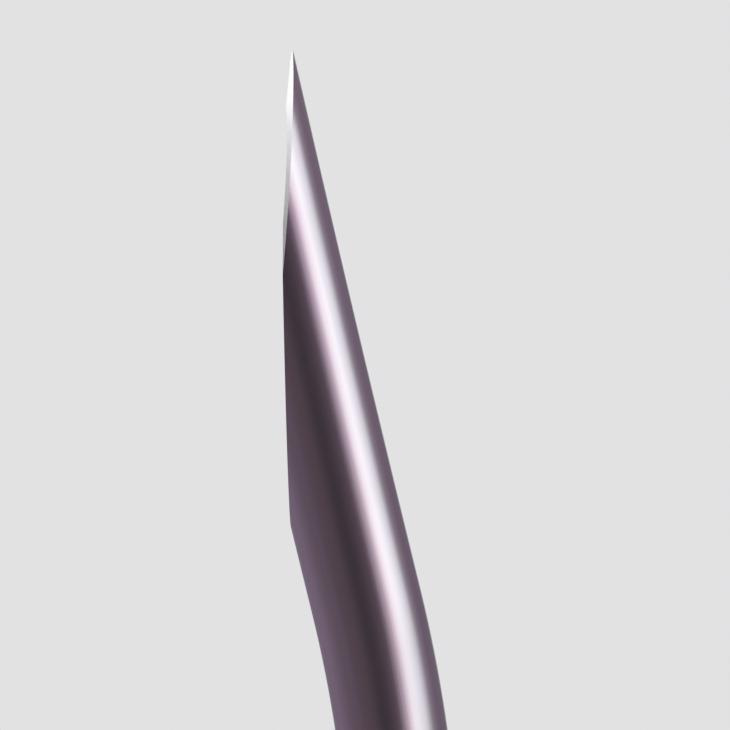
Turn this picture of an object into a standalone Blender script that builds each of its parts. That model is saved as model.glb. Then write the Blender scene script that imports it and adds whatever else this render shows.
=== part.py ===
"""Huber needle: a curved-point steel cannula glued into a female Luer-lock hub.

The needle stands on the open mouth of its hub at z = 0, with the cannula along +Z.
The end of the cannula is bent towards -X and then ground, so that its opening faces
sideways and the point cuts no core out of the septum that it goes through.
"""

import math

import bmesh
import bpy
from mathutils import Matrix, Vector

MM = 0.001

# Cannula: 19 gauge regular-wall tube
CANNULA_OUTER_DIAMETER = 1.067 * MM
CANNULA_WALL = 0.191 * MM
CANNULA_EXPOSED_HEIGHT = 25.0 * MM

# Deflected end, measured on the tube's axis
BEND_RADIUS = 13.155 * MM
BEND_ANGLE = math.radians(13.84)
RECURVE_RADIUS = 294.0 * MM

# Ground point: one long bevel, from the heel past the bend, and two lancet facets
HEEL_STATION = 0.842 * MM
BEVEL_LEAN = math.radians(1.10)
LANCET_SETBACK = 0.465 * MM
LANCET_ANGLE = math.radians(17.20)
LANCET_TURN = math.radians(16.14)

# Luer socket
SOCKET_MOUTH_DIAMETER = 4.30 * MM
SOCKET_TAPER = 0.06
SOCKET_DEPTH = 8.0 * MM
SOCKET_EDGE_RADIUS = 0.15 * MM
FUNNEL_LENGTH = 1.1 * MM

# Hub moulding
RIM_WIDTH = 1.215 * MM
RIM_HEIGHT = 1.15 * MM
RIM_FILLET = 0.30 * MM
BARREL_WALL = 0.70 * MM
SHOULDER_LENGTH = 1.7 * MM
SHOULDER_FILLET = 0.60 * MM
NOSE_LENGTH = 4.7 * MM
NOSE_LIP = 0.44 * MM
NOSE_DRAFT = math.radians(3.0)
NOSE_EDGE_RADIUS = 0.20 * MM

# Luer-lock lugs
LUG_PROJECTION = 0.535 * MM
LUG_WIDTH = 3.45 * MM
LUG_TIP_THICKNESS = 0.55 * MM
LUG_FLANK_ANGLE = math.radians(25.0)
LUG_EDGE_RADIUS = 0.10 * MM

# Grip ribs on the barrel
RIB_COUNT = 8
RIB_HEIGHT = 0.50 * MM
RIB_THICKNESS = 0.62 * MM
RIB_END_SLOPE = math.radians(45.0)
RIB_CROWN_RADIUS = 0.16 * MM

# Fins that hold a sheath on the nose
FIN_COUNT = 4
FIN_SETBACK = 2.1 * MM
FIN_TOP_HEIGHT = 0.12 * MM
FIN_THICKNESS = 0.50 * MM
FIN_CROWN_RADIUS = 0.10 * MM

# Adhesive joint
BORE_CLEARANCE = 0.03 * MM
GLUE_CLEARANCE = 0.02 * MM
GLUE_WELL_DEPTH = 1.3 * MM
GLUE_WELL_WIDTH = 0.50 * MM
GLUE_MENISCUS_HEIGHT = 0.42 * MM
CANNULA_BACK_SETBACK = 0.10 * MM

# Fineness of the facets
TUBE_SIDES = 48
HUB_SIDES = 72
BEND_STEPS = 14
RECURVE_STEPS = 6
FILLET_STEPS = 4
SHARP_ANGLE = math.radians(32.0)

# Derived sizes
CANNULA_RADIUS = CANNULA_OUTER_DIAMETER / 2
LUMEN_RADIUS = CANNULA_RADIUS - CANNULA_WALL
SOCKET_MOUTH_RADIUS = SOCKET_MOUTH_DIAMETER / 2
RIM_RADIUS = SOCKET_MOUTH_RADIUS + RIM_WIDTH
LUG_RADIUS = RIM_RADIUS + LUG_PROJECTION
BORE_RADIUS = CANNULA_RADIUS + BORE_CLEARANCE
FUNNEL_END = SOCKET_DEPTH + FUNNEL_LENGTH
SHOULDER_BASE = FUNNEL_END
NOSE_BASE = SHOULDER_BASE + SHOULDER_LENGTH
HUB_LENGTH = NOSE_BASE + NOSE_LENGTH
GLUE_WELL_WAIST = HUB_LENGTH - GLUE_WELL_DEPTH / 2
GLUE_WELL_FLOOR = HUB_LENGTH - GLUE_WELL_DEPTH
GLUE_WELL_RADIUS = CANNULA_RADIUS + GLUE_WELL_WIDTH
NOSE_TIP_RADIUS = GLUE_WELL_RADIUS + NOSE_LIP
BEND_LENGTH = BEND_RADIUS * BEND_ANGLE
TIP_HEIGHT = HUB_LENGTH + CANNULA_EXPOSED_HEIGHT


def socket_radius(height):
    """Radius of the tapered Luer socket at a height above the mouth."""
    return SOCKET_MOUTH_RADIUS - SOCKET_TAPER / 2 * height


def barrel_radius(height):
    """Outer radius of the barrel, which keeps an even wall round the socket."""
    return socket_radius(height) + BARREL_WALL


def nose_radius(height):
    """Outer radius of the nose, which narrows to the lip round the glue well."""
    return NOSE_TIP_RADIUS + math.tan(NOSE_DRAFT) * (HUB_LENGTH - height)


def axis_after_bend(station):
    """Point and lean of the bent axis, at a distance past the start of the bend.

    The axis starts at the origin along +Z, follows the bend towards -X and then
    the long reverse curve that brings the tip back.
    """
    lean = min(station, BEND_LENGTH) / BEND_RADIUS
    point = Vector((-BEND_RADIUS * (1 - math.cos(lean)), 0, BEND_RADIUS * math.sin(lean)))
    if station > BEND_LENGTH:
        side = Vector((math.cos(lean), 0, math.sin(lean)))
        centre = point + RECURVE_RADIUS * side
        lean -= (station - BEND_LENGTH) / RECURVE_RADIUS
        point = centre - RECURVE_RADIUS * Vector((math.cos(lean), 0, math.sin(lean)))
    return point, lean


def wall_point(station, side):
    """Point of the outer wall beside the bent axis: side is 1 for +X and -1 for -X."""
    point, lean = axis_after_bend(station)
    return point + side * CANNULA_RADIUS * Vector((math.cos(lean), 0, math.sin(lean)))


def bevel_plane():
    """Point and outward normal of the long bevel, relative to the start of the bend."""
    outward = -Vector((math.cos(BEVEL_LEAN), 0, math.sin(BEVEL_LEAN)))
    return wall_point(BEND_LENGTH + HEEL_STATION, -1), outward


def tip_station():
    """Distance of the tip past the start of the bend.

    The long bevel alone would run out where it meets the +X wall of the tube, and
    the lancet facets end the point a little before that.
    """
    heel, outward = bevel_plane()
    near = BEND_LENGTH + HEEL_STATION
    far = near + math.pi * BEND_RADIUS
    for _ in range(60):
        middle = (near + far) / 2
        if outward.dot(wall_point(middle, 1) - heel) < 0:
            near = middle
        else:
            far = middle
    return near - LANCET_SETBACK


TIP_STATION = tip_station()
BEND_START = TIP_HEIGHT - wall_point(TIP_STATION, 1).z


def clear_scene():
    """Remove every object of the open scene."""
    for old in list(bpy.data.objects):
        bpy.data.objects.remove(old, do_unlink=True)


def make_material(name, colour, roughness, metallic=0.0, transmission=0.0):
    """Principled material of one plain finish."""
    material = bpy.data.materials.new(name)
    material.use_nodes = True
    shader = material.node_tree.nodes["Principled BSDF"]
    shader.inputs["Base Color"].default_value = (*colour, 1.0)
    shader.inputs["Roughness"].default_value = roughness
    shader.inputs["Metallic"].default_value = metallic
    shader.inputs["Transmission Weight"].default_value = transmission
    return material


def make_object(name, bm, material=None):
    """Turn a bmesh into a linked object with its normals pointing out."""
    bmesh.ops.recalc_face_normals(bm, faces=bm.faces)
    mesh = bpy.data.meshes.new(name)
    bm.to_mesh(mesh)
    bm.free()
    mesh.shade_smooth()
    mesh.set_sharp_from_angle(angle=SHARP_ANGLE)
    if material:
        mesh.materials.append(material)
    made = bpy.data.objects.new(name, mesh)
    bpy.context.scene.collection.objects.link(made)
    return made


def combine(target, operation, tool):
    """Join a hidden tool to a target, or cut the tool out of it."""
    tool.hide_render = True
    tool.display_type = 'WIRE'
    boolean = target.modifiers.new(tool.name, 'BOOLEAN')
    boolean.operation = operation
    boolean.solver = 'EXACT'
    boolean.object = tool


def rounded(corners):
    """Outline of (radius, height) points with each corner's own fillet.

    Each corner is (radius, height, fillet radius), and a fillet of 0 stays sharp.
    """
    outline = []
    for index, (radius, height, fillet) in enumerate(corners):
        corner = Vector((radius, height))
        if not fillet:
            outline.append(corner)
            continue
        before = Vector(corners[index - 1][:2]) - corner
        after = Vector(corners[(index + 1) % len(corners)][:2]) - corner
        half = before.angle(after) / 2
        room = 0.45 * min(before.length, after.length)
        reach = min(fillet / math.tan(half), room)
        centre = corner + (before.normalized() + after.normalized()).normalized() * reach / math.cos(half)
        start = corner + before.normalized() * reach - centre
        end = corner + after.normalized() * reach - centre
        turn = start.angle_signed(end)
        for step in range(FILLET_STEPS + 1):
            spoke = Matrix.Rotation(-turn * step / FILLET_STEPS, 2) @ start
            outline.append(centre + spoke)
    return outline


def turned(outline, sides):
    """Solid turned about Z from a closed outline of (radius, height) points."""
    bm = bmesh.new()
    ring = [bm.verts.new((point.x, 0, point.y)) for point in outline]
    edges = [bm.edges.new((ring[i - 1], ring[i])) for i in range(len(ring))]
    bmesh.ops.spin(bm, geom=ring + edges, axis=(0, 0, 1), cent=(0, 0, 0),
                   angle=2 * math.pi, steps=sides, use_merge=True)
    return bm


def only(kind, geometry):
    """The items of one bmesh type, such as BMVert, out of an operator's result."""
    return [item for item in geometry if isinstance(item, kind)]


def fin(outline, thickness, crown_radius):
    """Flat fin in the XZ plane, extruded evenly about it, with a rounded crown.

    The outline's last edge is the buried root, and every other edge is rounded.
    """
    bm = bmesh.new()
    verts = [bm.verts.new((radius, -thickness / 2, height)) for radius, height in outline]
    face = bm.faces.new(verts)
    extruded = bmesh.ops.extrude_face_region(bm, geom=[face], use_keep_orig=True)["geom"]
    bmesh.ops.translate(bm, verts=only(bmesh.types.BMVert, extruded), vec=(0, thickness, 0))
    root = min(radius for radius, _ in outline)
    crown = [edge for edge in bm.edges
             if all(vert.co.x > root + crown_radius for vert in edge.verts)
             and abs(edge.verts[0].co.y - edge.verts[1].co.y) < crown_radius]
    bmesh.ops.bevel(bm, geom=crown, offset=crown_radius, offset_type='OFFSET',
                    segments=2, profile=0.5, affect='EDGES', clamp_overlap=True)
    return bm


def copies_about_axis(bm, count, first_angle):
    """Repeat the geometry evenly about Z, with the first copy at first_angle."""
    original = list(bm.verts) + list(bm.edges) + list(bm.faces)
    bmesh.ops.rotate(bm, verts=bm.verts, cent=(0, 0, 0), matrix=Matrix.Rotation(first_angle, 3, 'Z'))
    for index in range(1, count):
        copy = bmesh.ops.duplicate(bm, geom=original)["geom"]
        bmesh.ops.rotate(bm, verts=only(bmesh.types.BMVert, copy), cent=(0, 0, 0),
                         matrix=Matrix.Rotation(2 * math.pi * index / count, 3, 'Z'))
    return bm


def bent_tube():
    """Tube of the cannula, bent and not yet ground, with its bend at BEND_START."""
    bm = bmesh.new()
    back = FUNNEL_END + CANNULA_BACK_SETBACK
    bmesh.ops.create_circle(bm, segments=TUBE_SIDES, radius=CANNULA_RADIUS,
                            matrix=Matrix.Translation((0, 0, back)))
    lumen_edge = bmesh.ops.extrude_edge_only(bm, edges=bm.edges)["geom"]
    narrowing = LUMEN_RADIUS / CANNULA_RADIUS
    bmesh.ops.scale(bm, verts=only(bmesh.types.BMVert, lumen_edge), vec=(narrowing, narrowing, 1))

    shaft = bmesh.ops.extrude_face_region(bm, geom=bm.faces, use_keep_orig=True)["geom"]
    bmesh.ops.translate(bm, verts=only(bmesh.types.BMVert, shaft), vec=(0, 0, BEND_START - back))

    start = Vector((0, 0, BEND_START))
    bend = bmesh.ops.spin(bm, geom=shaft, axis=(0, -1, 0), angle=BEND_ANGLE, steps=BEND_STEPS,
                          cent=start + Vector((-BEND_RADIUS, 0, 0)))["geom_last"]
    bend_end, lean = axis_after_bend(BEND_LENGTH)
    recurve_centre = start + bend_end + RECURVE_RADIUS * Vector((math.cos(lean), 0, math.sin(lean)))
    overrun = TIP_STATION - BEND_LENGTH + 2 * CANNULA_OUTER_DIAMETER
    bmesh.ops.spin(bm, geom=bend, axis=(0, 1, 0), angle=overrun / RECURVE_RADIUS,
                   steps=RECURVE_STEPS, cent=recurve_centre)
    return bm


def grinding_block(name, point, outward, reach):
    """Hidden block that removes what lies beyond a plane through a point."""
    bm = bmesh.new()
    bmesh.ops.create_cube(bm, size=2 * reach)
    turn = outward.to_track_quat('Z', 'Y').to_matrix().to_4x4()
    bmesh.ops.transform(bm, verts=bm.verts, matrix=Matrix.Translation(point + outward * reach) @ turn)
    return make_object(name, bm)


def build_cannula():
    """Bent tube with the long side bevel and the two lancet facets ground on it."""
    steel = make_material("cannula_steel", (0.62, 0.58, 0.61), 0.22, metallic=1.0)
    cannula = make_object("cannula", bent_tube(), steel)
    start = Vector((0, 0, BEND_START))
    reach = 1.5 * TIP_STATION
    heel, bevel_outward = bevel_plane()
    combine(cannula, 'DIFFERENCE', grinding_block("bevel_wheel", start + heel, bevel_outward, reach))

    tip = start + wall_point(TIP_STATION, 1)
    lean = axis_after_bend(TIP_STATION)[1]
    along = Vector((-math.sin(lean), 0, math.cos(lean)))
    across = Vector((math.cos(lean), 0, math.sin(lean)))
    for name, turn in (("lancet_wheel_front", -LANCET_TURN), ("lancet_wheel_back", LANCET_TURN)):
        towards_back = math.cos(turn) * across - math.sin(turn) * Vector((0, 1, 0))
        outward = math.sin(LANCET_ANGLE) * along - math.cos(LANCET_ANGLE) * towards_back
        combine(cannula, 'DIFFERENCE', grinding_block(name, tip, outward, reach))
    return cannula


def hub_outline():
    """Closed outline of the hub's wall, up the outside and back down the inside."""
    return rounded([
        (SOCKET_MOUTH_RADIUS, 0, SOCKET_EDGE_RADIUS),
        (RIM_RADIUS, 0, 0),
        (RIM_RADIUS, RIM_HEIGHT, SOCKET_EDGE_RADIUS),
        (barrel_radius(RIM_HEIGHT), RIM_HEIGHT, RIM_FILLET),
        (barrel_radius(SHOULDER_BASE), SHOULDER_BASE, SHOULDER_FILLET),
        (nose_radius(NOSE_BASE), NOSE_BASE, SHOULDER_FILLET),
        (NOSE_TIP_RADIUS, HUB_LENGTH, NOSE_EDGE_RADIUS),
        (GLUE_WELL_RADIUS, HUB_LENGTH, 0),
        (GLUE_WELL_RADIUS, GLUE_WELL_WAIST, GLUE_WELL_WIDTH / 2),
        (BORE_RADIUS, GLUE_WELL_FLOOR, 0),
        (BORE_RADIUS, FUNNEL_END, 0),
        (socket_radius(SOCKET_DEPTH), SOCKET_DEPTH, 0),
    ])


def lug_pair():
    """Two lugs at the mouth, on +X and -X, with the sloping flank of a Luer lock."""
    root = (SOCKET_MOUTH_RADIUS + RIM_RADIUS) / 2
    root_thickness = LUG_TIP_THICKNESS + (LUG_RADIUS - root) * math.tan(LUG_FLANK_ANGLE)
    outline = rounded([
        (root, 0, 0),
        (LUG_RADIUS, 0, 0),
        (LUG_RADIUS, LUG_TIP_THICKNESS, LUG_EDGE_RADIUS),
        (root, root_thickness, 0),
    ])
    bm = bmesh.new()
    section = [bm.verts.new((point.x, 0, point.y)) for point in outline]
    face = bm.faces.new(section)
    sweep = 2 * math.asin(LUG_WIDTH / 2 / LUG_RADIUS)
    bmesh.ops.rotate(bm, verts=section, cent=(0, 0, 0), matrix=Matrix.Rotation(-sweep / 2, 3, 'Z'))
    steps = max(4, round(HUB_SIDES * sweep / (2 * math.pi)))
    bmesh.ops.spin(bm, geom=[face], axis=(0, 0, 1), cent=(0, 0, 0), angle=sweep, steps=steps)
    return copies_about_axis(bm, 2, 0)


def grip_ribs():
    """Ribs along the barrel, from inside the rim to the shoulder."""
    foot = RIM_HEIGHT / 2
    head = SHOULDER_BASE - RIB_HEIGHT / math.tan(RIB_END_SLOPE)
    outline = [
        (barrel_radius(foot) + RIB_HEIGHT, foot),
        (barrel_radius(head) + RIB_HEIGHT, head),
        (barrel_radius(SHOULDER_BASE) - BARREL_WALL / 2, SHOULDER_BASE + BARREL_WALL / 2),
        (barrel_radius(foot) - BARREL_WALL / 2, foot),
    ]
    return copies_about_axis(fin(outline, RIB_THICKNESS, RIB_CROWN_RADIUS), RIB_COUNT, math.pi / RIB_COUNT)


def nose_fins():
    """Tapering fins on the nose, from the shoulder up."""
    buried = NOSE_TIP_RADIUS - NOSE_LIP / 2
    top = HUB_LENGTH - FIN_SETBACK
    outline = [
        (barrel_radius(SHOULDER_BASE), SHOULDER_BASE),
        (nose_radius(top) + FIN_TOP_HEIGHT, top),
        (buried, top),
        (buried, SHOULDER_BASE),
    ]
    return copies_about_axis(fin(outline, FIN_THICKNESS, FIN_CROWN_RADIUS), FIN_COUNT, 0)


def build_hub():
    """Moulded hub with its Luer socket, lugs, grip ribs and nose fins."""
    plastic = make_material("hub_plastic", (0.86, 0.80, 0.62), 0.38)
    hub = make_object("hub", turned(hub_outline(), HUB_SIDES), plastic)
    for name, tool in (("lugs", lug_pair()), ("ribs", grip_ribs()), ("fins", nose_fins())):
        combine(hub, 'UNION', make_object(name, tool))
    return hub


def build_adhesive():
    """Ring of adhesive in the glue well, with a meniscus up the cannula."""
    resin = make_material("adhesive_resin", (0.80, 0.82, 0.80), 0.12, transmission=0.4)
    inner = CANNULA_RADIUS + GLUE_CLEARANCE
    outer = GLUE_WELL_RADIUS - GLUE_CLEARANCE
    surface = HUB_LENGTH - GLUE_CLEARANCE
    floor_slope = (GLUE_WELL_WAIST - GLUE_WELL_FLOOR) / (GLUE_WELL_RADIUS - BORE_RADIUS)
    body = rounded([
        (inner, GLUE_WELL_WAIST - floor_slope * (outer - inner), 0),
        (outer, GLUE_WELL_WAIST, GLUE_WELL_WIDTH / 2),
        (outer, surface, 0),
    ])
    rise = 2 * FILLET_STEPS
    meniscus = []
    for step in range(1, rise + 1):
        angle = math.pi / 2 * step / rise
        meniscus.append(Vector((outer - (outer - inner) * math.sin(angle),
                                surface + GLUE_MENISCUS_HEIGHT * (1 - math.cos(angle)))))
    return make_object("adhesive", turned(body + meniscus, TUBE_SIDES), resin)


def main():
    """Build the needle in an empty scene."""
    clear_scene()
    build_cannula()
    build_hub()
    build_adhesive()


if __name__ == "__main__":
    main()
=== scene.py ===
"""Dressed model of a Huber needle, standing on its hub in a small photographic tent.

The cannula, hub and adhesive are each remade finer than their CAD solids, in place.
All shapes are worked out in millimetres and scaled to metres when a piece is finished.
"""
import logging
import math
from dataclasses import dataclass, field
from enum import Enum, IntEnum
from typing import Iterable, Sequence

import bmesh
import bpy
from mathutils import Matrix, Vector


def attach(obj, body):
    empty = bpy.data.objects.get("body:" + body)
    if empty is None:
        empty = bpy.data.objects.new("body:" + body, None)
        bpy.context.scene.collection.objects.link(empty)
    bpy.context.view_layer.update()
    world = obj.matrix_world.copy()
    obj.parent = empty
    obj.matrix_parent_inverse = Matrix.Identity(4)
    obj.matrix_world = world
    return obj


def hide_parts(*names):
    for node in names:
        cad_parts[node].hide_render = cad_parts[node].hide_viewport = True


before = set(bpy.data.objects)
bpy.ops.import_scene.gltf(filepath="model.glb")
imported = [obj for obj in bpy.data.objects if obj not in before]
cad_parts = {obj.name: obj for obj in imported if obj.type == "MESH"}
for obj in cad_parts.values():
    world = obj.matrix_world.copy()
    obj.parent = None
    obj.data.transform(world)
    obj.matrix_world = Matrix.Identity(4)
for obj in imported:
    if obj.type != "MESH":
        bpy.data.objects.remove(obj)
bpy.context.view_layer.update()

LOG = logging.getLogger("needle")
MM = 0.001
BODY = "root"
# Millimetres within which points are merged, and within which a cut counts them as on it
MERGE_DISTANCE = 1e-5
SNAP_DISTANCE = 1e-6
# How much of the shorter side beside a corner its fillet may take up
FILLET_SHARE = 0.45
# The Mix node's inputs for the share and two colours, and its output for their mix
COLOUR_MIX_INPUTS = (0, 6, 7)
COLOUR_MIX_OUTPUT = 2
Triple = tuple[float, float, float]
Span = tuple[float, float]


class Node(str, Enum):
    """The CAD nodes, which are also the pieces of the dressed model."""

    CANNULA = "cannula"
    HUB = "hub"
    ADHESIVE = "adhesive"


class Slot(str, Enum):
    """Names of the pieces' material slots."""

    STEEL = "cannula_steel"
    PLASTIC = "hub_plastic"
    RESIN = "adhesive_resin"


class TubeSurface(IntEnum):
    """Surfaces of the cannula, in the order of its material slots."""

    DRAWN = 0
    LUMEN = 1
    BEVEL = 2
    LANCET = 3


# Mesh helpers


def verts_of(geometry: Iterable) -> list[bmesh.types.BMVert]:
    """The vertices in an operator's result."""
    return [item for item in geometry if isinstance(item, bmesh.types.BMVert)]


def edges_of(geometry: Iterable) -> list[bmesh.types.BMEdge]:
    """The edges in an operator's result."""
    return [item for item in geometry if isinstance(item, bmesh.types.BMEdge)]


def far_edges(extruded: Sequence) -> list[bmesh.types.BMEdge]:
    """The edges at the far end of an extrusion, out of the operator's result."""
    ahead = set(verts_of(extruded))
    return [edge for edge in edges_of(extruded) if ahead.issuperset(edge.verts)]


def all_of(bm: bmesh.types.BMesh) -> list:
    """Every vertex, edge and face of a mesh."""
    return list(bm.verts) + list(bm.edges) + list(bm.faces)


def rounded(corners: Sequence[Triple], steps: int) -> list[Vector]:
    """Closed outline with a fillet at each corner.

    Args:
        corners: (radius, height, fillet radius) of each corner; a fillet of 0 stays sharp.
        steps: How many segments a fillet has.

    Returns:
        The outline's (radius, height) points.
    """
    outline = []
    for index, (radius, height, fillet) in enumerate(corners):
        corner = Vector((radius, height))
        if not fillet:
            outline.append(corner)
            continue
        before = Vector(corners[index - 1][:2]) - corner
        after = Vector(corners[(index + 1) % len(corners)][:2]) - corner
        half = before.angle(after) / 2
        reach = min(fillet / math.tan(half), FILLET_SHARE * min(before.length, after.length))
        middle = (before.normalized() + after.normalized()).normalized()
        centre = corner + middle * reach / math.cos(half)
        start = corner + before.normalized() * reach - centre
        end = corner + after.normalized() * reach - centre
        turn = start.angle_signed(end)
        for step in range(steps + 1):
            outline.append(centre + Matrix.Rotation(-turn * step / steps, 2) @ start)
    return outline


def spaced(outline: Sequence[Vector], longest: float) -> list[Vector]:
    """Add points to a closed outline, so that no segment of it is too long.

    Args:
        outline: Its (radius, height) points.
        longest: The length that a segment may have.

    Returns:
        The outline with the added points.
    """
    points = []
    for index, point in enumerate(outline):
        after = outline[(index + 1) % len(outline)]
        parts = max(1, math.ceil((after - point).length / longest))
        points += [point.lerp(after, part / parts) for part in range(parts)]
    return points


def turned(outline: Sequence[Vector], sides: int) -> bmesh.types.BMesh:
    """Turn a closed outline about Z.

    Args:
        outline: Its (radius, height) points.
        sides: How many steps the turn has.

    Returns:
        The closed solid.
    """
    bm = bmesh.new()
    ring = [bm.verts.new((point.x, 0, point.y)) for point in outline]
    edges = [bm.edges.new((ring[index - 1], ring[index])) for index in range(len(ring))]
    bmesh.ops.spin(bm, geom=ring + edges, axis=(0, 0, 1), cent=(0, 0, 0),
                   angle=2 * math.pi, steps=sides, use_merge=True)
    bmesh.ops.remove_doubles(bm, verts=bm.verts, dist=MERGE_DISTANCE)
    bmesh.ops.recalc_face_normals(bm, faces=bm.faces)
    return bm


def linked_object(name: str, mesh_name: str, bm: bmesh.types.BMesh,
                  materials: Iterable[bpy.types.Material]) -> bpy.types.Object:
    """Put a finished bmesh into the scene.

    Args:
        name: The object's name.
        mesh_name: Its mesh's name.
        bm: The bmesh in metres, which is freed.
        materials: Its materials, in the order of the faces' material indices.

    Returns:
        The linked object.
    """
    mesh = bpy.data.meshes.new(mesh_name)
    bm.to_mesh(mesh)
    bm.free()
    for material in materials:
        mesh.materials.append(material)
    made = bpy.data.objects.new(name, mesh)
    bpy.context.scene.collection.objects.link(made)
    return made


# Node helpers and shared node groups


class Bench:
    """A node tree that is being wired up."""

    def __init__(self, tree: bpy.types.NodeTree) -> None:
        """Work on the given tree."""
        self.tree = tree

    def feed(self, node: bpy.types.Node, inputs: dict) -> bpy.types.Node:
        """Fill a node's sockets.

        Args:
            node: The node.
            inputs: What goes into its sockets by name or index, an output or a constant.

        Returns:
            The same node.
        """
        for name, value in inputs.items():
            if isinstance(value, bpy.types.NodeSocket):
                self.tree.links.new(value, node.inputs[name])
            else:
                node.inputs[name].default_value = value
        return node

    def add(self, kind: str, inputs: dict | None = None, **settings) -> bpy.types.Node:
        """Add a node.

        Args:
            kind: The node's type name, without its "ShaderNode" prefix.
            inputs: What goes into its sockets by name or index, an output or a constant.
            **settings: Properties of the node itself.

        Returns:
            The new node.
        """
        node = self.tree.nodes.new("ShaderNode" + kind)
        for name, value in settings.items():
            setattr(node, name, value)
        return self.feed(node, inputs or {})

    def place(self, group: bpy.types.NodeTree, inputs: dict) -> bpy.types.NodeOutputs:
        """Outputs of a shared node group, placed with its own inputs."""
        return self.add("Group", inputs, node_tree=group).outputs

    def on_object(self) -> bpy.types.NodeSocket:
        """The place on the piece, in metres."""
        return self.add("TexCoord").outputs["Object"]

    def axes(self) -> bpy.types.NodeOutputs:
        """The place on the piece as its X, Y and Z."""
        return self.add("SeparateXYZ", {0: self.on_object()}).outputs

    def reach(self) -> bpy.types.NodeSocket:
        """Distance of the place on the piece from the origin."""
        return self.add("VectorMath", {0: self.on_object()}, operation='LENGTH').outputs["Value"]

    def math(self, operation: str, *values) -> bpy.types.NodeSocket:
        """Output of a Math node with the given values or outputs in its sockets."""
        return self.add("Math", dict(enumerate(values)), operation=operation).outputs[0]

    def shared(self, first: bpy.types.NodeSocket, share: float,
               second: bpy.types.NodeSocket) -> bpy.types.NodeSocket:
        """Value made of a share of the first and the rest of the second."""
        return self.math('MULTIPLY_ADD', first, share, self.math('MULTIPLY', second, 1 - share))

    def noise(self, place: bpy.types.NodeSocket, **values) -> bpy.types.NodeSocket:
        """Noise at a place, with the given Scale, Detail and Roughness."""
        return self.add("TexNoise", {"Vector": place, **values}).outputs["Fac"]

    def relief(self, height: bpy.types.NodeSocket, depth: float) -> bpy.types.NodeSocket:
        """Normal of a relief that is so deep, in metres, where its height is 1."""
        bump = self.add("Bump", {"Height": height, "Strength": 1.0, "Distance": depth})
        return bump.outputs[0]

    def ramp(self, value: bpy.types.NodeSocket, low: float, high: float, to_low: float = 0.0,
             to_high: float = 1.0, smooth: bool = False) -> bpy.types.NodeSocket:
        """Carry a value over to another range, and clamp it there.

        Args:
            value: The output to read.
            low: The value that becomes to_low.
            high: The value that becomes to_high.
            to_low: What low becomes.
            to_high: What high becomes.
            smooth: Whether both ends are eased.

        Returns:
            The output of the Map Range node.
        """
        node = self.add("MapRange", {"Value": value, "From Min": low, "From Max": high,
                                     "To Min": to_low, "To Max": to_high}, clamp=True,
                        interpolation_type='SMOOTHSTEP' if smooth else 'LINEAR')
        return node.outputs["Result"]

    def blend(self, share: bpy.types.NodeSocket, first: bpy.types.NodeSocket | Triple,
              second: bpy.types.NodeSocket | Triple) -> bpy.types.NodeSocket:
        """Mix two colours.

        Args:
            share: How much of the second is in the mix.
            first: An output or a constant colour.
            second: Another.

        Returns:
            The colour output of the Mix node.
        """
        colours = [value if isinstance(value, bpy.types.NodeSocket) else (*value, 1.0)
                   for value in (first, second)]
        node = self.add("Mix", data_type='RGBA', blend_type='MIX')
        self.feed(node, dict(zip(COLOUR_MIX_INPUTS, (share, *colours))))
        return node.outputs[COLOUR_MIX_OUTPUT]


def new_material(name: str) -> tuple[bpy.types.Material, Bench, bpy.types.Node]:
    """Start a material.

    Args:
        name: The material's name.

    Returns:
        The material, a Bench on its tree and its Principled shader.
    """
    material = bpy.data.materials.new(name)
    material.use_nodes = True
    tree = material.node_tree
    return material, Bench(tree), tree.nodes["Principled BSDF"]


def surface_material(name: str) -> tuple[bpy.types.Material, Bench, bpy.types.Node]:
    """Start a material without a Principled shader.

    Args:
        name: The material's name.

    Returns:
        The material, a Bench on its tree and its Material Output.
    """
    material, bench, shader = new_material(name)
    bench.tree.nodes.remove(shader)
    return material, bench, bench.tree.nodes["Material Output"]


def new_group(name: str, inputs: dict[str, str], outputs: Sequence[str]) -> tuple:
    """Start a shared shader node group.

    Args:
        name: The group's name.
        inputs: Socket type of each input by name.
        outputs: Names of its float outputs.

    Returns:
        A Bench on its tree, the outputs of its Group Input, and its Group Output.
    """
    tree = bpy.data.node_groups.new(name, "ShaderNodeTree")
    for label, kind in inputs.items():
        tree.interface.new_socket(label, in_out='INPUT', socket_type=kind)
    for label in outputs:
        tree.interface.new_socket(label, in_out='OUTPUT', socket_type='NodeSocketFloat')
    source = tree.nodes.new("NodeGroupInput")
    return Bench(tree), source.outputs, tree.nodes.new("NodeGroupOutput")


def tool_lines_group() -> bpy.types.NodeTree:
    """Build the group for the fine parallel lines that a die or a grinding wheel leaves.

    Returns:
        The group's tree.
    """
    vector = 'NodeSocketVector'
    bench, source, result = new_group(
        "tool_lines", {"Vector": vector, "Turn": vector, "Pitch": vector}, ("Height", "Tone"))
    aligned = bench.add("Mapping", {"Vector": source["Vector"], "Rotation": source["Turn"]})
    pitched = bench.add("Mapping", {"Vector": aligned.outputs[0], "Scale": source["Pitch"]})
    fine = bench.noise(pitched.outputs[0], Scale=1.0, Detail=3.0, Roughness=0.62)
    coarse = bench.noise(pitched.outputs[0], Scale=0.21, Detail=2.0, Roughness=0.5)
    height = bench.ramp(fine, 0.30, 0.72)
    tone = bench.ramp(coarse, 0.30, 0.70, smooth=True)
    fine_share = 0.35
    bench.feed(result, {"Height": height, "Tone": bench.shared(height, fine_share, tone)})
    return bench.tree


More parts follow.
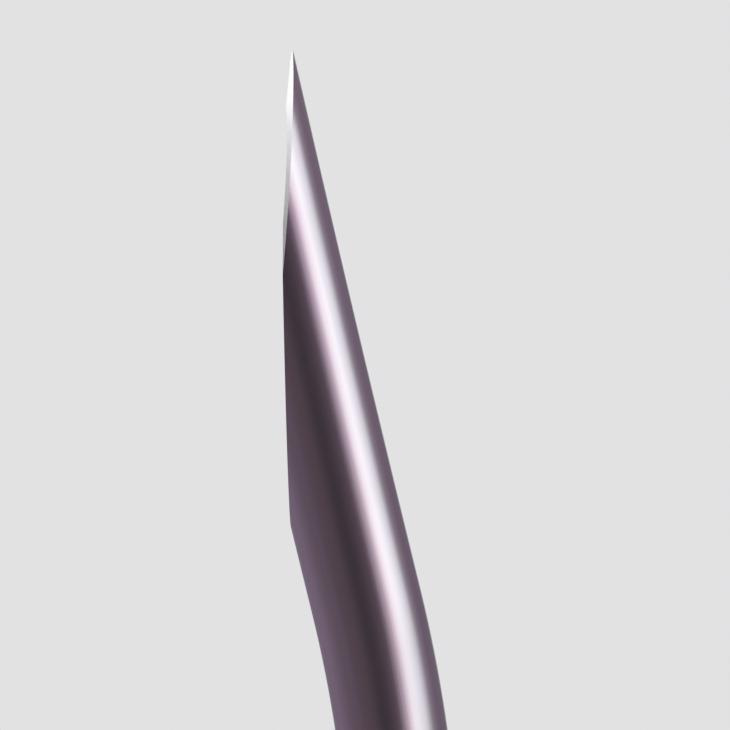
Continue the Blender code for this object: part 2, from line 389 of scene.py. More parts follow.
def grain_group() -> bpy.types.NodeTree:
    """Build the group for fine even grain with a soft, slow mottling over it.

    Returns:
        The group's tree.
    """
    bench, source, result = new_group(
        "grain", {"Vector": 'NodeSocketVector', "Grain Scale": 'NodeSocketFloat',
                  "Mottle Scale": 'NodeSocketFloat'}, ("Height", "Mottle"))
    fine = bench.noise(source["Vector"], Scale=source["Grain Scale"], Detail=3.0, Roughness=0.55)
    slow = bench.noise(source["Vector"], Scale=source["Mottle Scale"], Detail=2.0, Roughness=0.45)
    bench.feed(result, {"Height": bench.ramp(fine, 0.32, 0.68),
                        "Mottle": bench.ramp(slow, 0.34, 0.66, smooth=True)})
    return bench.tree


@dataclass(frozen=True)
class SharedEffects:
    """The node groups that more than one finish uses."""

    tool_lines: bpy.types.NodeTree
    grain: bpy.types.NodeTree

    @classmethod
    def make(cls) -> "SharedEffects":
        """Build the groups once."""
        return cls(tool_lines_group(), grain_group())


# Finishes


@dataclass(frozen=True)
class SteelFinish:
    """Stainless steel with the lines of the tool that shaped it.

    The lines run along Z of the unbent tube before turn, and pitch is how many
    lines there are to a metre along each axis. Where a colour of painted shade is
    given, the steel goes from it, at the lower of two heights, to its own colour at
    the higher: painted shade that stands in for a ground facet's reflection fading
    away from the point.
    """

    name: str
    colour: Triple
    streak_colour: Triple
    roughness: Span
    pitch: Triple
    line_depth: float
    turn: Triple = (0.0, 0.0, 0.0)
    grazing_tint: Triple = (1.0, 1.0, 1.0)
    painted_shade_colour: Triple | None = None
    painted_shade_heights: Span = (0.0, 1.0)
    painted_shade_power: float = 2.2
    grain_scale: float = 60000.0
    mottle_scale: float = 900.0
    line_share: float = 0.6
    grain_relief: float = 0.3

    def material(self, effects: SharedEffects) -> bpy.types.Material:
        """Make the material of this finish.

        Args:
            effects: The shared node groups.

        Returns:
            The material, for a piece that carries the unbent place as an attribute.
        """
        material, bench, shader = new_material(self.name)
        unbent = bench.add("Attribute", attribute_name=Cannula.UNBENT).outputs["Vector"]
        lines = bench.place(effects.tool_lines, {"Vector": unbent, "Turn": self.turn,
                                                 "Pitch": self.pitch})
        grain = bench.place(effects.grain, {"Vector": unbent, "Grain Scale": self.grain_scale,
                                            "Mottle Scale": self.mottle_scale})
        share = bench.shared(lines["Tone"], self.line_share, grain["Mottle"])
        colour = bench.blend(share, self.streak_colour, self.colour)
        # Painted shade: below the given heights the colour darkens, standing in for the facet's
        # reflection fading away from the point.
        if self.painted_shade_colour:
            unshaded_share = bench.ramp(bench.axes()["Z"], *self.painted_shade_heights)
            colour = bench.blend(bench.math('POWER', unshaded_share, self.painted_shade_power),
                                 self.painted_shade_colour, colour)
        smoothest, roughest = self.roughness
        height = bench.math('ADD', lines["Height"],
                            bench.math('MULTIPLY', grain["Height"], self.grain_relief))
        bench.feed(shader, {
            "Base Color": colour,
            "Roughness": bench.ramp(share, 0, 1, roughest, smoothest),
            "Normal": bench.relief(height, self.line_depth),
            "Metallic": 1.0,
            "Specular Tint": (*self.grazing_tint, 1.0),
        })
        return material


@dataclass(frozen=True)
class PlasticFinish:
    """Moulded polypropylene, faintly translucent, with a spark-eroded mould's grain."""

    name: str
    colour: Triple
    # Darker colour off the crests: painted shade over the body between the ribs, lugs and fins, mixed
    # with random mottle.
    shade_and_mottle_colour: Triple
    roughness: Span
    grain_depth: float
    grain_scale: float = 16000.0
    mottle_scale: float = 420.0
    # How much of the colour's mix is painted shade, read from how far the skin is drawn out to a
    # crest.
    recess_shade_share: float = 0.65
    crest_polish: float = 0.5
    ior: float = 1.49
    subsurface: float = 0.22
    subsurface_radius: Triple = (1.0, 0.75, 0.45)
    subsurface_reach: float = 0.6 * MM

    def material(self, effects: SharedEffects) -> bpy.types.Material:
        """Make the material of this finish.

        Args:
            effects: The shared node groups.

        Returns:
            The material, for a piece that carries its crests as an attribute.
        """
        material, bench, shader = new_material(self.name)
        grain = bench.place(effects.grain, {"Vector": bench.on_object(),
                                            "Grain Scale": self.grain_scale,
                                            "Mottle Scale": self.mottle_scale})
        # Painted shade: where the skin is not drawn out to a crest, the colour goes towards the darker
        # one; the mottle mixed in is random tone.
        crest = bench.add("Attribute", attribute_name=Hub.CREST).outputs["Fac"]
        share = bench.shared(crest, self.recess_shade_share, grain["Mottle"])
        worn = bench.math('MULTIPLY_ADD', crest, -self.crest_polish, grain["Height"])
        bench.feed(shader, {
            "Base Color": bench.blend(share, self.shade_and_mottle_colour, self.colour),
            "Roughness": bench.ramp(worn, -self.crest_polish, 1.0, *self.roughness),
            "Normal": bench.relief(grain["Height"], self.grain_depth),
            "IOR": self.ior,
            "Subsurface Weight": self.subsurface,
            "Subsurface Radius": self.subsurface_radius,
            "Subsurface Scale": self.subsurface_reach,
        })
        return material


@dataclass(frozen=True)
class ResinFinish:
    """Clear adhesive, cured glossy."""

    name: str
    colour: Triple
    # Darker colour of the resin's random mottle.
    shade_and_mottle_colour: Triple
    roughness: Span
    grain_scale: float = 5000.0
    mottle_scale: float = 1400.0
    swell_depth: float = 4e-6
    ior: float = 1.5
    transmission: float = 0.38
    subsurface: float = 0.8
    subsurface_radius: Triple = (1.0, 1.0, 0.9)
    subsurface_reach: float = 0.3 * MM

    def material(self, effects: SharedEffects) -> bpy.types.Material:
        """Make the material of this finish.

        Args:
            effects: The shared node groups.

        Returns:
            The material.
        """
        material, bench, shader = new_material(self.name)
        grain = bench.place(effects.grain, {"Vector": bench.on_object(),
                                            "Grain Scale": self.grain_scale,
                                            "Mottle Scale": self.mottle_scale})
        bench.feed(shader, {
            "Base Color": bench.blend(grain["Mottle"], self.shade_and_mottle_colour, self.colour),
            "Roughness": bench.ramp(grain["Height"], 0, 1, *self.roughness),
            "Normal": bench.relief(grain["Mottle"], self.swell_depth),
            "IOR": self.ior,
            "Transmission Weight": self.transmission,
            "Subsurface Weight": self.subsurface,
            "Subsurface Radius": self.subsurface_radius,
            "Subsurface Scale": self.subsurface_reach,
        })
        return material


# Parts


class Part:
    """A piece of the needle, worked out in millimetres, with a finish for each surface."""

    NODE: Node
    SLOT: Slot
    finishes: tuple
    sharp_angle: float

    def mesh(self) -> bmesh.types.BMesh:
        """The closed mesh, whose material indices follow the finishes."""
        raise NotImplementedError

    def build(self, effects: SharedEffects) -> bpy.types.Object:
        """Build and dress the piece in the place of its CAD node.

        Edges that turn more than the sharp angle, and those between two finishes, are
        shaded sharp.

        Args:
            effects: The shared node groups.

        Returns:
            The linked object, riding on the needle's one body.
        """
        node, slot = self.NODE, self.SLOT
        bm = self.mesh()
        for edge in bm.edges:
            surfaces = {face.material_index for face in edge.link_faces}
            edge.smooth = len(surfaces) == 1 and edge.calc_face_angle(math.pi) < self.sharp_angle
        for face in bm.faces:
            face.smooth = True
        bmesh.ops.scale(bm, vec=(MM, MM, MM), verts=bm.verts)
        piece = linked_object(f"{node.value}_dressed", f"{node.value}_mesh", bm,
                              [finish.material(effects) for finish in self.finishes])
        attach(piece, BODY)
        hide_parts(node.value)
        triangles = sum(len(polygon.vertices) - 2 for polygon in piece.data.polygons)
        LOG.info("%s: %d triangles, replaces %s on %s", piece.name, triangles, node.value, BODY)
        return piece


# Cannula


@dataclass
class Cannula(Part):
    """Bent steel tube with a long side bevel and two lancet facets.

    Its finishes are in the order of its surfaces.
    """

    NODE = Node.CANNULA
    SLOT = Slot.STEEL
    UNBENT = "unbent"
    LENGTHWISE = (90000.0, 90000.0, 700.0)
    ACROSS_BEVEL = (4000.0, 2500.0, 80000.0)
    BLUNT_CUTS = (0.1, 0.2, 0.35, 0.5, 0.75, 1.0, 1.4, 2.0, 3.0, 4.5, 7.0)
    BLUNT_REACH = 10

    outer_radius: float = 0.5335
    lumen_radius: float = 0.3425
    back_height: float = 9.2
    tip_height: float = 40.5
    bend_radius: float = 13.155
    bend_angle: float = math.radians(13.84)
    recurve_radius: float = 294.0
    heel_station: float = 0.842
    bevel_lean: float = math.radians(1.10)
    lancet_setback: float = 0.465
    lancet_angle: float = math.radians(17.20)
    lancet_turn: float = math.radians(16.14)
    tip_blunting: float = 0.06
    sides: int = 160
    bend_steps: int = 40
    recurve_steps: int = 20
    sharp_angle: float = math.radians(18)
    finishes: tuple[SteelFinish, ...] = (
        SteelFinish("drawn_steel", (0.64, 0.60, 0.63), (0.59, 0.55, 0.585), (0.15, 0.20),
                    LENGTHWISE, line_depth=1.2e-7),
        SteelFinish("bored_steel", (0.40, 0.38, 0.39), (0.26, 0.25, 0.26), (0.34, 0.46),
                    LENGTHWISE, line_depth=6e-7),
        SteelFinish("bevel_ground_steel", (0.88, 0.88, 0.89), (0.70, 0.70, 0.72), (0.24, 0.36),
                    ACROSS_BEVEL, line_depth=5e-7, turn=(0.12, 0.0, 0.0)),
        # The lancet facets are bright ground steel with painted shade over it: near white above 39.95
        # mm, darkening to dark grey at 38.2 mm and below, a painted fade of their reflection.
        SteelFinish("lancet_ground_steel", (0.94, 0.94, 0.95), (0.82, 0.82, 0.84), (0.22, 0.32),
                    ACROSS_BEVEL, line_depth=4e-7, turn=(-0.35, 0.0, 0.0),
                    grazing_tint=(0.40, 0.40, 0.40), painted_shade_colour=(0.22, 0.215, 0.22),
                    painted_shade_heights=(38.2 * MM, 39.95 * MM)),
    )
    bend_start: float = field(init=False)
    tip_station: float = field(init=False)

    def __post_init__(self) -> None:
        """Work out where the tip and the start of the bend are."""
        self.tip_station = self._bevel_runout() - self.lancet_setback
        self.bend_start = self.tip_height - self.wall_point(self.tip_station, 1).z

    @property
    def bend_length(self) -> float:
        """Length of the bend along the axis."""
        return self.bend_radius * self.bend_angle

    @staticmethod
    def spoke(lean: float) -> Vector:
        """Unit vector across the axis in the bend's plane, towards +X."""
        return Vector((math.cos(lean), 0, math.sin(lean)))

    def axis_after_bend(self, station: float) -> tuple[Vector, float]:
        """Point and lean of the axis, at a distance past the start of the bend.

        Args:
            station: Distance along the axis.

        Returns:
            The point, with the start of the bend at the origin, and the lean in radians.
        """
        lean = min(station, self.bend_length) / self.bend_radius
        point = self.bend_radius * Vector((math.cos(lean) - 1, 0, math.sin(lean)))
        if station > self.bend_length:
            centre = point + self.recurve_radius * self.spoke(lean)
            lean -= (station - self.bend_length) / self.recurve_radius
            point = centre - self.recurve_radius * self.spoke(lean)
        return point, lean

    def wall_point(self, station: float, side: int) -> Vector:
        """Point of the outer wall beside the axis: side is 1 for +X and -1 for -X."""
        point, lean = self.axis_after_bend(station)
        return point + side * self.outer_radius * self.spoke(lean)

    def bevel_plane(self) -> tuple[Vector, Vector]:
        """Point and outward normal of the long bevel."""
        heel = self.wall_point(self.bend_length + self.heel_station, -1)
        return heel, -self.spoke(self.bevel_lean)

    def _bevel_runout(self) -> float:
        """Find where the bevel meets the +X wall, by halving.

        Returns:
            Its station along the axis.
        """
        heel, outward = self.bevel_plane()
        near = self.bend_length + self.heel_station
        far = near + 3 * self.bend_radius
        tolerance = 1e-9
        while far - near > tolerance:
            middle = (near + far) / 2
            if outward.dot(self.wall_point(middle, 1) - heel) < 0:
                near = middle
            else:
                far = middle
        return near

    def unbent(self, place: Vector) -> Vector:
        """Straighten the tube at a point.

        Args:
            place: A point of the bent tube.

        Returns:
            Where it would be if the tube were straight.
        """
        start = Vector((0, 0, self.bend_start))
        past = place - start
        if past.z <= 0:
            return place.copy()
        lean = math.atan2(past.z, past.x + self.bend_radius)
        if lean <= self.bend_angle:
            offset = math.hypot(past.z, past.x + self.bend_radius) - self.bend_radius
            return Vector((offset, place.y, self.bend_start + lean * self.bend_radius))
        end, end_lean = self.axis_after_bend(self.bend_length)
        inward = end + self.recurve_radius * self.spoke(end_lean) - past
        turn = end_lean - math.atan2(inward.z, inward.x)
        offset = self.recurve_radius - math.hypot(inward.x, inward.z)
        station = self.bend_length + turn * self.recurve_radius
        return Vector((offset, place.y, self.bend_start + station))

    def _sweep_wall(self, bm: bmesh.types.BMesh, radius: float, surface: TubeSurface) -> list:
        """Sweep one wall of the tube along the shaft, the bend and the reverse curve.

        Args:
            bm: The mesh that it is added to.
            radius: The wall's radius.
            surface: What its faces are marked as.

        Returns:
            The edges of its back end.
        """
        before = set(bm.faces)
        back = bmesh.ops.create_circle(bm, segments=self.sides, radius=radius,
                                       matrix=Matrix.Translation((0, 0, self.back_height)))["verts"]
        back_edges = list({edge for vert in back for edge in vert.link_edges})
        grown = bmesh.ops.extrude_edge_only(bm, edges=back_edges)["geom"]
        front = verts_of(grown)
        bmesh.ops.translate(bm, verts=front, vec=(0, 0, self.bend_start - self.back_height))
        start = Vector((0, 0, self.bend_start))
        bend = bmesh.ops.spin(bm, geom=front + far_edges(grown), axis=(0, -1, 0),
                              angle=self.bend_angle, steps=self.bend_steps,
                              cent=start - Vector((self.bend_radius, 0, 0)))["geom_last"]
        end, lean = self.axis_after_bend(self.bend_length)
        centre = start + end + self.recurve_radius * self.spoke(lean)
        spare = 4 * self.outer_radius
        sweep = (self.tip_station - self.bend_length + spare) / self.recurve_radius
        bmesh.ops.spin(bm, geom=verts_of(bend) + edges_of(bend), axis=(0, 1, 0), cent=centre,
                       angle=sweep, steps=self.recurve_steps)
        for face in bm.faces:
            if face not in before:
                face.material_index = surface
        return back_edges

    def _grind(self, bm: bmesh.types.BMesh, point: Vector, outward: Vector,
               surface: TubeSurface) -> None:
        """Remove what lies beyond a plane, and close the cut with a ground face.

        Args:
            bm: The tube.
            point: A point of the plane.
            outward: The plane's normal, towards what is removed.
            surface: What the ground face is marked as.
        """
        cut = bmesh.ops.bisect_plane(bm, geom=all_of(bm), dist=MERGE_DISTANCE, plane_co=point,
                                     plane_no=outward, clear_outer=True)["geom_cut"]
        bmesh.ops.triangle_fill(bm, edges=edges_of(cut), use_beauty=True, normal=outward)
        tolerance = 1e-4
        for face in bm.faces:
            if all(abs((vert.co - point).dot(outward)) < tolerance for vert in face.verts):
                face.material_index = surface

    def _blunt(self, bm: bmesh.types.BMesh, tip: Vector, along: Vector) -> None:
        """Round the very tip off, as its last polish does.

        Args:
            bm: The ground tube.
            tip: Where its facets and its wall come to a point.
            along: Direction of the point.
        """
        for share in self.BLUNT_CUTS:
            bmesh.ops.bisect_plane(bm, geom=all_of(bm), dist=SNAP_DISTANCE, plane_no=along,
                                   plane_co=tip - along * share * self.tip_blunting)
        reach = self.BLUNT_REACH * self.tip_blunting
        for vert in bm.verts:
            back = (tip - vert.co).dot(along)
            if back < reach:
                blunted = math.hypot(back, self.tip_blunting) - back
                vert.co -= along * blunted * (1 - max(0.0, back) / reach)

    def mesh(self) -> bmesh.types.BMesh:
        """Sweep the tube, close it at the back and grind its point.

        Returns:
            The closed cannula, with its unbent places in metres as an attribute.
        """
        bm = bmesh.new()
        back_edges = self._sweep_wall(bm, self.outer_radius, TubeSurface.DRAWN)
        back_edges += self._sweep_wall(bm, self.lumen_radius, TubeSurface.LUMEN)
        bmesh.ops.triangle_fill(bm, edges=back_edges, use_beauty=True, normal=(0, 0, -1))
        start = Vector((0, 0, self.bend_start))
        heel, outward = self.bevel_plane()
        self._grind(bm, start + heel, outward, TubeSurface.BEVEL)
        tip = start + self.wall_point(self.tip_station, 1)
        lean = self.axis_after_bend(self.tip_station)[1]
        along = Vector((-math.sin(lean), 0, math.cos(lean)))
        for turn in (-self.lancet_turn, self.lancet_turn):
            inward = math.cos(turn) * self.spoke(lean) - math.sin(turn) * Vector((0, 1, 0))
            outward = math.sin(self.lancet_angle) * along - math.cos(self.lancet_angle) * inward
            self._grind(bm, tip, outward, TubeSurface.LANCET)
        bmesh.ops.dissolve_degenerate(bm, dist=MERGE_DISTANCE, edges=bm.edges)
        self._blunt(bm, tip, along)
        bmesh.ops.recalc_face_normals(bm, faces=bm.faces)
        unbent = bm.verts.layers.float_vector.new(self.UNBENT)
        for vert in bm.verts:
            vert[unbent] = self.unbent(vert.co) * MM
        return bm


# Hub


@dataclass
class Hub(Part):
    """Moulded Luer-lock hub."""

    NODE = Node.HUB
    SLOT = Slot.PLASTIC
    # Attribute of how far the skin is drawn out, from which the plastic paints shade off the crests
    # and polishes them.
    CREST = "crest"

    length: float = 15.5
    socket_mouth_radius: float = 2.15
    socket_taper: float = 0.06
    socket_depth: float = 8.0
    socket_end_fillet: float = 0.10
    funnel_end: float = 9.1
    funnel_edge: float = 0.05
    rim_radius: float = 3.365
    rim_height: float = 1.15
    rim_foot_edge: float = 0.05
    rim_edge: float = 0.15
    rim_fillet: float = 0.30
    barrel_wall: float = 0.70
    shoulder_base: float = 9.1
    shoulder_fillet: float = 0.60
    nose_base: float = 10.8
    nose_tip_radius: float = 1.4735
    nose_draft: float = math.radians(3.0)
    nose_edge: float = 0.20
    well_radius: float = 1.0335
    well_edge: float = 0.04
    well_waist: float = 14.85
    well_floor: float = 14.2
    well_fillet: float = 0.25
    bore_radius: float = 0.5635
    bore_edge: float = 0.03
    lug_radius: float = 3.9
    lug_width: float = 3.45
    lug_tip_thickness: float = 0.55
    lug_flank: float = math.radians(25.0)
    lug_crown: float = 0.10
    lug_root_fillet: float = 0.06
    rib_count: int = 8
    rib_height: float = 0.50
    rib_thickness: float = 0.62
    rib_crown: float = 0.16
    rib_sink: float = 0.30
    rib_root_fillet: float = 0.10
    fin_count: int = 4
    fin_top: float = 13.4
    fin_top_height: float = 0.12
    fin_thickness: float = 0.50
    fin_crown: float = 0.10
    fin_gauge_height: float = 0.10
    fin_root_fillet: float = 0.08
    wall_draft: float = math.radians(84.0)
    parting_height: float = 0.014
    parting_half_width: float = 0.03
    gate_radius: float = 0.30
    gate_depth: float = 0.06
    gate_height: float = 0.60
    gate_slope: float = 0.08
    gate_stub_radius: float = 0.09
    gate_stub_height: float = 0.035
    skin_margin: float = 0.12
    nose_inside: float = 1.25
    rim_margin: float = 0.06
    gate_margin: float = 0.02
    ring_gap: float = 0.02
    ring_spacing: float = 0.9
    rim_ring_spacing: float = 0.05
    head_ring_spacing: float = 0.12
    head_rings_from: float = 8.2
    fin_ring_spacing: float = 0.03
    fin_rings_below: float = 0.25
    fin_rings_above: float = 0.12
    rings_beyond: float = 0.1
    sides: int = 480
    fillet_steps: int = 7
    sharp_angle: float = math.radians(50)
    finishes: tuple[PlasticFinish] = (
        # Its second colour is painted shade off the crests of the ribs, lugs and fins, mixed with
        # random mottle.
        PlasticFinish("cream_polypropylene", (0.88, 0.82, 0.64), (0.80, 0.71, 0.49),
                      roughness=(0.20, 0.36), grain_depth=3e-6),
    )

    def socket_radius(self, height: float) -> float:
        """Radius of the tapered socket."""
        return self.socket_mouth_radius - self.socket_taper / 2 * height

    def barrel_radius(self, height: float) -> float:
        """Outer radius of the barrel between its ribs."""
        return self.socket_radius(height) + self.barrel_wall

    def nose_radius(self, height: float) -> float:
        """Outer radius of the nose between its fins."""
        return self.nose_tip_radius + math.tan(self.nose_draft) * (self.length - height)

    def outline(self) -> list[Vector]:
        """Draw the wall's closed outline, up the outside and back down the inside.

        Returns:
            Its (radius, height) points.
        """
        corners = [
            (self.socket_mouth_radius, 0, self.rim_edge),
            (self.rim_radius, 0, self.rim_foot_edge),
            (self.rim_radius, self.rim_height, self.rim_edge),
            (self.barrel_radius(self.rim_height), self.rim_height, self.rim_fillet),
            (self.barrel_radius(self.shoulder_base), self.shoulder_base, self.shoulder_fillet),
            (self.nose_radius(self.nose_base), self.nose_base, self.shoulder_fillet),
            (self.nose_tip_radius, self.length, self.nose_edge),
            (self.well_radius, self.length, self.well_edge),
            (self.well_radius, self.well_waist, self.well_fillet),
            (self.bore_radius, self.well_floor, self.bore_edge),
            (self.bore_radius, self.funnel_end, self.funnel_edge),
            (self.socket_radius(self.socket_depth), self.socket_depth, self.socket_end_fillet),
        ]
        return rounded(corners, self.fillet_steps)

    def is_outside(self, radius: float, height: float) -> bool:
        """Whether a point of the wall is on its outer skin."""
        barrel = height <= self.shoulder_base
        return radius > (self.barrel_radius(height) - self.skin_margin if barrel else self.nose_inside)

    def ring_levels(self) -> list[float]:
        """Heights of the outside's rings, close together where its ribs, lugs and fins end.

        Returns:
            The heights in order.
        """
        spans = (
            (0.0, self.length, self.ring_spacing),
            (0.0, self.rim_height + self.rings_beyond, self.rim_ring_spacing),
            (self.head_rings_from, self.nose_base + self.rings_beyond, self.head_ring_spacing),
            (self.fin_top - self.fin_rings_below, self.fin_top + self.fin_rings_above,
             self.fin_ring_spacing),
        )
        return sorted(low + step * index for low, high, step in spans
                      for index in range(1, math.ceil((high - low) / step)))

    def with_rings(self, outline: Sequence[Vector]) -> list[Vector]:
        """Add points to the outside of the wall's outline at the rings' heights.

        Args:
            outline: The wall's outline.

        Returns:
            The outline with the rings' points.
        """
        levels = self.ring_levels()
        points = []
        for index, point in enumerate(outline):
            after = outline[(index + 1) % len(outline)]
            points.append(point)
            rise = after.y - point.y
            if rise < self.ring_gap or not self.is_outside(min(point.x, after.x), point.y):
                continue
            for level in levels:
                if min(level - points[-1].y, after.y - level) > self.ring_gap:
                    points.append(point.lerp(after, (level - point.y) / rise))
        return points

    @staticmethod
    def smooth_max(first: float, second: float, blend: float) -> float:
        """The larger of two radii, with a fillet of about blend where they meet."""
        share = max(0.0, blend - abs(first - second)) / blend
        return max(first, second) + share * share * blend / 4

    def crowned(self, top: float, thickness: float, crown: float, aside: float) -> float:
        """Radius of a rib's rounded cross-section at a distance from its middle plane.

        Args:
            top: Radius of its crown.
            thickness: Its thickness.
            crown: Radius of its rounded edges.
            aside: Distance from its middle plane.

        Returns:
            The radius of its surface there.
        """
        over = abs(aside) - (thickness / 2 - crown)
        if over <= 0:
            return top
        if over < crown * math.sin(self.wall_draft):
            return top - crown + math.sqrt(crown * crown - over * over)
        level = top - crown + crown * math.cos(self.wall_draft)
        return level - (over - crown * math.sin(self.wall_draft)) * math.tan(self.wall_draft)

    def feature_radius(self, angle: float, height: float, skin: float) -> float:
        """Radius of the outside, with its ribs, fins and lugs.

        Args:
            angle: Angle about Z.
            height: Height above the mouth.
            skin: Radius of the plain turned body there.

        Returns:
            The radius of the moulding's surface.
        """
        radius = skin
        if self.rim_height - self.rib_sink < height < self.nose_base:
            pitch = 2 * math.pi / self.rib_count
            off = (angle % pitch) - pitch / 2
            head = self.shoulder_base - self.rib_height
            top = self.barrel_radius(height) + self.rib_height
            if height > head:
                top = min(top, self.barrel_radius(head) + self.rib_height - (height - head))
            aside = (skin + self.rib_height / 2) * math.sin(off)
            rib = self.crowned(top, self.rib_thickness, self.rib_crown, aside)
            radius = self.smooth_max(radius, rib, self.rib_root_fillet)
        if self.shoulder_base < height <= self.fin_top:
            pitch = 2 * math.pi / self.fin_count
            off = (angle + pitch / 2) % pitch - pitch / 2
            share = (height - self.shoulder_base) / (self.fin_top - self.shoulder_base)
            foot = self.barrel_radius(self.shoulder_base)
            top = foot + share * (self.nose_radius(self.fin_top) + self.fin_top_height - foot)
            aside = (skin + self.fin_gauge_height) * math.sin(off)
            fin = self.crowned(top, self.fin_thickness, self.fin_crown, aside)
            fillet = min(self.fin_root_fillet, max(top - skin, SNAP_DISTANCE))
            radius = self.smooth_max(radius, fin, fillet)
        if height < self.rim_height:
            off = (angle + math.pi / 2) % math.pi - math.pi / 2
            sweep = math.asin(self.lug_width / 2 / self.lug_radius)
            over = height - self.lug_tip_thickness
            top = self.lug_radius - max(0.0, over) / math.tan(self.lug_flank)
            lug = self.crowned(top, 2 * sweep * self.lug_radius, self.lug_crown,
                               off * self.lug_radius)
            radius = self.smooth_max(radius, lug, self.lug_root_fillet)
        return radius

    def mould_mark(self, angle: float, height: float, radius: float) -> float:
        """How far the parting line or the gate mark moves the skin outwards.

        Args:
            angle: Angle about Z.
            height: Height above the mouth.
            radius: Radius of the plain turned body there.

        Returns:
            The distance, below 0 where it is sunk.
        """
        seam = abs(abs(angle) - math.pi / 2) * radius
        if height > self.rim_height:
            return self.parting_height if seam < self.parting_half_width else 0.0
        gate = math.hypot((angle + math.pi / 2) * radius, height - self.gate_height)
        if radius <= self.rim_radius - self.gate_margin or gate >= self.gate_radius:
            return 0.0
        sunk = self.gate_depth * min(1.0, (self.gate_radius - gate) / self.gate_slope)
        return self.gate_stub_height - sunk if gate < self.gate_stub_radius else -sunk

    def mesh(self) -> bmesh.types.BMesh:
        """Turn the wall, and draw its skin out to the ribs, fins and lugs.

        Returns:
            The closed hub, with how far each point is drawn out as an attribute.
        """
        bm = turned(self.with_rings(self.outline()), self.sides)
        crest = bm.verts.layers.float.new(self.CREST)
        for vert in bm.verts:
            radius = math.hypot(vert.co.x, vert.co.y)
            angle = math.atan2(vert.co.y, vert.co.x)
            height = vert.co.z
            under_rim = height < self.rim_height and radius < self.rim_radius - self.rim_margin
            if under_rim or not self.is_outside(radius, height):
                continue
            moved = self.feature_radius(angle, height, radius)
            moved += self.mould_mark(angle, height, radius)
            vert.co.x *= moved / radius
            vert.co.y *= moved / radius
            # How far the skin is drawn out, which the plastic reads for its painted shade and polish.
            vert[crest] = min(1.0, max(0.0, (moved - radius) / self.rib_height))
        bmesh.ops.recalc_face_normals(bm, faces=bm.faces)
        return bm


# Adhesive


@dataclass
class Adhesive(Part):
    """Cured bead in the hub's glue well.

    Its ripples are (waves to a turn, phase in radians, share) each.
    """

    NODE = Node.ADHESIVE
    SLOT = Slot.RESIN

    inner_radius: float = 0.5535
    outer_radius: float = 1.0135
    surface: float = 15.48
    surface_edge: float = 0.02
    waist: float = 14.85
    floor: float = 14.36
    floor_fillet: float = 0.25
    meniscus_height: float = 0.42
    ripple_height: float = 0.018
    ripple_rise: float = 0.2
    ripples: tuple[tuple[int, float, float], ...] = ((2, 0.7, 1.0), (3, 2.1, 0.6))
    sides: int = 160
    steps: int = 20
    fillet_steps: int = 6
    longest_segment: float = 0.12
    sharp_angle: float = math.radians(45)
    finishes: tuple[ResinFinish] = (
        ResinFinish("clear_adhesive", (0.95, 0.95, 0.90), (0.89, 0.88, 0.80),
                    roughness=(0.03, 0.09)),
    )

    def outline(self) -> list[Vector]:
        """Draw the bead's closed outline, with its meniscus up the cannula.

        Returns:
            Its (radius, height) points.
        """
        body = rounded([
            (self.inner_radius, self.floor, 0),
            (self.outer_radius, self.waist, self.floor_fillet),
            (self.outer_radius, self.surface, self.surface_edge),
            (self.inner_radius, self.surface, 0),
        ], self.fillet_steps)[:-1]
        width = self.outer_radius - self.inner_radius
        for step in range(1, self.steps + 1):
            angle = math.pi / 2 * step / self.steps
            inset = (width - self.surface_edge) * math.sin(angle)
            body.append(Vector((self.outer_radius - self.surface_edge - inset,
                                self.surface + self.meniscus_height * (1 - math.cos(angle)))))
        return body

    def mesh(self) -> bmesh.types.BMesh:
        """Turn the bead, and make its meniscus slightly uneven.

        Returns:
            The closed bead.
        """
        bm = turned(spaced(self.outline(), self.longest_segment), self.sides)
        crest = sum(share for _, _, share in self.ripples)
        for vert in bm.verts:
            over = vert.co.z - self.surface
            if over > 0:
                angle = math.atan2(vert.co.y, vert.co.x)
                ripple = self.ripple_height * sum(share * math.sin(waves * angle + phase)
                                                  for waves, phase, share in self.ripples)
                vert.co.z += ripple * min(1.0, over / self.ripple_rise) - self.ripple_height * crest
        return bm


# Camera


def direction(azimuth: float, elevation: float = 0.0) -> Vector:
    """Unit vector to an azimuth, which is 0 at -Y and grows towards +X, and an elevation."""
    return Vector((math.sin(azimuth) * math.cos(elevation),
                   -math.cos(azimuth) * math.cos(elevation), math.sin(elevation)))


@dataclass(frozen=True)
class Viewpoint:
    """The photograph's view: level with the point and almost square to the bend's plane."""

    azimuth: float = math.radians(2.683)
    view_width: float = 6.979 * MM
    centre_height: float = 37.4225 * MM
    centre_aside: float = -0.3928 * MM
    lens: float = 200.0
    sensor: float = 36.0
    clip: Span = (1 * MM, 5.0)

    def build(self) -> bpy.types.Object:
        """Make the scene's camera.

        Returns:
            The linked camera.
        """
        data = bpy.data.cameras.new("camera")
        data.lens, data.sensor_width = self.lens, self.sensor
        data.clip_start, data.clip_end = self.clip
        distance = self.view_width * self.lens / self.sensor
        back = direction(self.azimuth)
        right = direction(self.azimuth + math.pi / 2)
        camera = bpy.data.objects.new("camera", data)
        camera.location = back * distance + right * self.centre_aside
        camera.location.z = self.centre_height
        camera.rotation_mode = 'QUATERNION'
        camera.rotation_quaternion = (-back).to_track_quat('-Z', 'Y')
        bpy.context.scene.collection.objects.link(camera)
        bpy.context.scene.camera = camera
        return camera


# Studio


